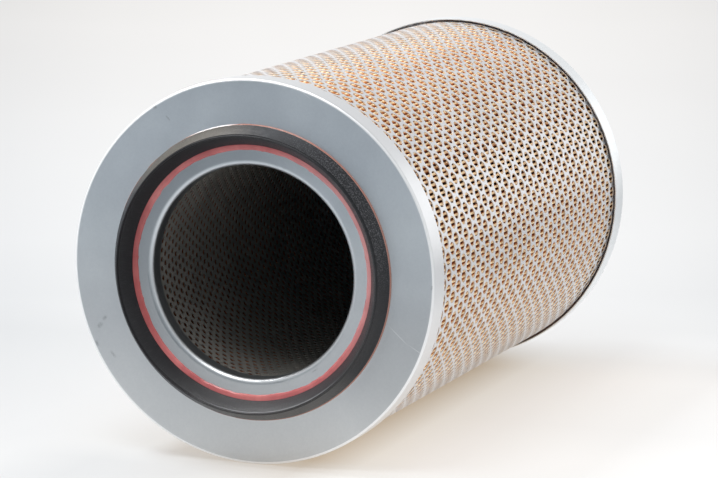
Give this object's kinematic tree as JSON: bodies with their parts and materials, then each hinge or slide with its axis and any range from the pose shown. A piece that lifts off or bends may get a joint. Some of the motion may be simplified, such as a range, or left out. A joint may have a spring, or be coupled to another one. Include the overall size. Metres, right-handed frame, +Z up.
{
  "type": "compressed air filter element",
  "caption": "Cylindrical pleated paper air filter element with perforated steel cage and liner, pressed steel end caps, a central outlet bore and a face gasket.",
  "frame": {"origin": "on the element's axis, in the plane of the gasket's sealing crest", "axes": "+Y along the axis from the open end to the closed end; +Z up with the element lying on its side; +X to the right seen from the open end"},
  "size_m": [0.195, 0.316, 0.195],
  "materials": {
    "cap_steel": "satin galvanised",
    "cage_steel": "bright galvanised, perforated",
    "liner_steel": "satin galvanised, perforated",
    "gasket_rubber": "matt",
    "adhesive": "cured glue, glossy",
    "potting": "cured sealant",
    "filter_paper": "resin-impregnated paper"
  },
  "bodies": {
    "root": {"open_end_cap": "cap_steel", "closed_end_cap": "cap_steel", "outer_cage": "cage_steel", "inner_liner": "liner_steel", "pleated_media": "filter_paper", "media_seam_glue": "adhesive", "open_end_potting": "potting", "closed_end_potting": "potting", "gasket": "gasket_rubber", "gasket_adhesive": "adhesive"}
  },
  "joints": []
}
